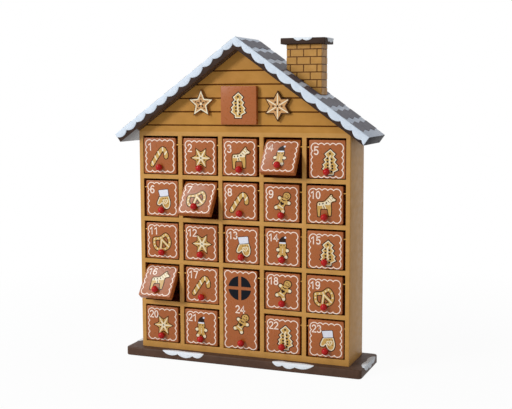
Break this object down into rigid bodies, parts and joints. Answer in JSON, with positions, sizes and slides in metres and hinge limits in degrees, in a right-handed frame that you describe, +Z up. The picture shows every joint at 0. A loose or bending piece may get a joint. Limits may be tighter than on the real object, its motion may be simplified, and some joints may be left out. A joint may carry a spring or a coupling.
{
  "type": "advent calendar",
  "caption": "Advent calendar as a gingerbread house: a shallow wooden box of pigeonholes behind top-hinged numbered doors, under a snowy gabled roof with a brick chimney.",
  "frame": {"origin": "middle of the base plate's underside", "axes": "+X to the right seen from the front, +Y from the front to the back, +Z up"},
  "size_m": [0.333, 0.0924, 0.4078],
  "materials": {
    "tan_paint": "gingerbread tan paint, satin",
    "brown_paint": "dark brown paint, satin",
    "roof_paint": "slate grey paint with painted shingles, matt",
    "door_paint": "terracotta brown print with iced biscuit motifs, satin",
    "star_paint": "biscuit paint with white icing lines, satin",
    "knob_lacquer": "red lacquer, glossy"
  },
  "bodies": {
    "house": {"base_plate": "brown_paint", "left_wall": "tan_paint", "right_wall": "tan_paint", "compartment_grid": "tan_paint", "back_panel": "tan_paint", "gable_board": "tan_paint", "roof": "roof_paint", "chimney_stack": "tan_paint", "chimney_cap": "brown_paint", "gable_tile": "door_paint", "star_five": "star_paint", "star_six": "star_paint"},
    "flap_01": {"door_01": "door_paint", "knob_01": "knob_lacquer"},
    "flap_02": {"door_02": "door_paint", "knob_02": "knob_lacquer"},
    "flap_03": {"door_03": "door_paint", "knob_03": "knob_lacquer"},
    "flap_04": {"door_04": "door_paint", "knob_04": "knob_lacquer"},
    "flap_05": {"door_05": "door_paint", "knob_05": "knob_lacquer"},
    "flap_06": {"door_06": "door_paint", "knob_06": "knob_lacquer"},
    "flap_07": {"door_07": "door_paint", "knob_07": "knob_lacquer"},
    "flap_08": {"door_08": "door_paint", "knob_08": "knob_lacquer"},
    "flap_09": {"door_09": "door_paint", "knob_09": "knob_lacquer"},
    "flap_10": {"door_10": "door_paint", "knob_10": "knob_lacquer"},
    "flap_11": {"door_11": "door_paint", "knob_11": "knob_lacquer"},
    "flap_12": {"door_12": "door_paint", "knob_12": "knob_lacquer"},
    "flap_13": {"door_13": "door_paint", "knob_13": "knob_lacquer"},
    "flap_14": {"door_14": "door_paint", "knob_14": "knob_lacquer"},
    "flap_15": {"door_15": "door_paint", "knob_15": "knob_lacquer"},
    "flap_16": {"door_16": "door_paint", "knob_16": "knob_lacquer"},
    "flap_17": {"door_17": "door_paint", "knob_17": "knob_lacquer"},
    "flap_18": {"door_18": "door_paint", "knob_18": "knob_lacquer"},
    "flap_19": {"door_19": "door_paint", "knob_19": "knob_lacquer"},
    "flap_20": {"door_20": "door_paint", "knob_20": "knob_lacquer"},
    "flap_21": {"door_21": "door_paint", "knob_21": "knob_lacquer"},
    "flap_22": {"door_22": "door_paint", "knob_22": "knob_lacquer"},
    "flap_23": {"door_23": "door_paint", "knob_23": "knob_lacquer"},
    "flap_24": {"door_24": "door_paint", "knob_24": "knob_lacquer"}
  },
  "joints": [
    {"name": "door_hinge_01", "type": "hinge", "parent": "house", "child": "flap_01", "pos_m": [-0.11, -0.0255, 0.27545], "axis": [-1, 0, 0], "range_deg": [0, 110]},
    {"name": "door_hinge_02", "type": "hinge", "parent": "house", "child": "flap_02", "pos_m": [-0.055, -0.0255, 0.27545], "axis": [-1, 0, 0], "range_deg": [0, 110]},
    {"name": "door_hinge_03", "type": "hinge", "parent": "house", "child": "flap_03", "pos_m": [0, -0.0255, 0.27545], "axis": [-1, 0, 0], "range_deg": [0, 110]},
    {"name": "door_hinge_04", "type": "hinge", "parent": "house", "child": "flap_04", "pos_m": [0.055, -0.0255, 0.27545], "axis": [-1, 0, 0], "range_deg": [-34, 76]},
    {"name": "door_hinge_05", "type": "hinge", "parent": "house", "child": "flap_05", "pos_m": [0.11, -0.0255, 0.27545], "axis": [-1, 0, 0], "range_deg": [0, 110]},
    {"name": "door_hinge_06", "type": "hinge", "parent": "house", "child": "flap_06", "pos_m": [-0.11, -0.0255, 0.2207], "axis": [-1, 0, 0], "range_deg": [0, 110]},
    {"name": "door_hinge_07", "type": "hinge", "parent": "house", "child": "flap_07", "pos_m": [-0.055, -0.0255, 0.2207], "axis": [-1, 0, 0], "range_deg": [-35, 75]},
    {"name": "door_hinge_08", "type": "hinge", "parent": "house", "child": "flap_08", "pos_m": [0, -0.0255, 0.2207], "axis": [-1, 0, 0], "range_deg": [0, 110]},
    {"name": "door_hinge_09", "type": "hinge", "parent": "house", "child": "flap_09", "pos_m": [0.055, -0.0255, 0.2207], "axis": [-1, 0, 0], "range_deg": [0, 110]},
    {"name": "door_hinge_10", "type": "hinge", "parent": "house", "child": "flap_10", "pos_m": [0.11, -0.0255, 0.2207], "axis": [-1, 0, 0], "range_deg": [0, 110]},
    {"name": "door_hinge_11", "type": "hinge", "parent": "house", "child": "flap_11", "pos_m": [-0.11, -0.0255, 0.16595], "axis": [-1, 0, 0], "range_deg": [0, 110]},
    {"name": "door_hinge_12", "type": "hinge", "parent": "house", "child": "flap_12", "pos_m": [-0.055, -0.0255, 0.16595], "axis": [-1, 0, 0], "range_deg": [0, 110]},
    {"name": "door_hinge_13", "type": "hinge", "parent": "house", "child": "flap_13", "pos_m": [0, -0.0255, 0.16595], "axis": [-1, 0, 0], "range_deg": [0, 110]},
    {"name": "door_hinge_14", "type": "hinge", "parent": "house", "child": "flap_14", "pos_m": [0.055, -0.0255, 0.16595], "axis": [-1, 0, 0], "range_deg": [0, 110]},
    {"name": "door_hinge_15", "type": "hinge", "parent": "house", "child": "flap_15", "pos_m": [0.11, -0.0255, 0.16595], "axis": [-1, 0, 0], "range_deg": [0, 110]},
    {"name": "door_hinge_16", "type": "hinge", "parent": "house", "child": "flap_16", "pos_m": [-0.11, -0.0255, 0.1112], "axis": [-1, 0, 0], "range_deg": [-38, 72]},
    {"name": "door_hinge_17", "type": "hinge", "parent": "house", "child": "flap_17", "pos_m": [-0.055, -0.0255, 0.1112], "axis": [-1, 0, 0], "range_deg": [0, 110]},
    {"name": "door_hinge_18", "type": "hinge", "parent": "house", "child": "flap_18", "pos_m": [0.055, -0.0255, 0.1112], "axis": [-1, 0, 0], "range_deg": [0, 110]},
    {"name": "door_hinge_19", "type": "hinge", "parent": "house", "child": "flap_19", "pos_m": [0.11, -0.0255, 0.1112], "axis": [-1, 0, 0], "range_deg": [0, 110]},
    {"name": "door_hinge_20", "type": "hinge", "parent": "house", "child": "flap_20", "pos_m": [-0.11, -0.0255, 0.05645], "axis": [-1, 0, 0], "range_deg": [0, 110]},
    {"name": "door_hinge_21", "type": "hinge", "parent": "house", "child": "flap_21", "pos_m": [-0.055, -0.0255, 0.05645], "axis": [-1, 0, 0], "range_deg": [0, 110]},
    {"name": "door_hinge_22", "type": "hinge", "parent": "house", "child": "flap_22", "pos_m": [0.055, -0.0255, 0.05645], "axis": [-1, 0, 0], "range_deg": [0, 110]},
    {"name": "door_hinge_23", "type": "hinge", "parent": "house", "child": "flap_23", "pos_m": [0.11, -0.0255, 0.05645], "axis": [-1, 0, 0], "range_deg": [0, 110]},
    {"name": "door_hinge_24", "type": "hinge", "parent": "house", "child": "flap_24", "pos_m": [0, -0.0255, 0.1112], "axis": [-1, 0, 0], "range_deg": [0, 110]}
  ]
}
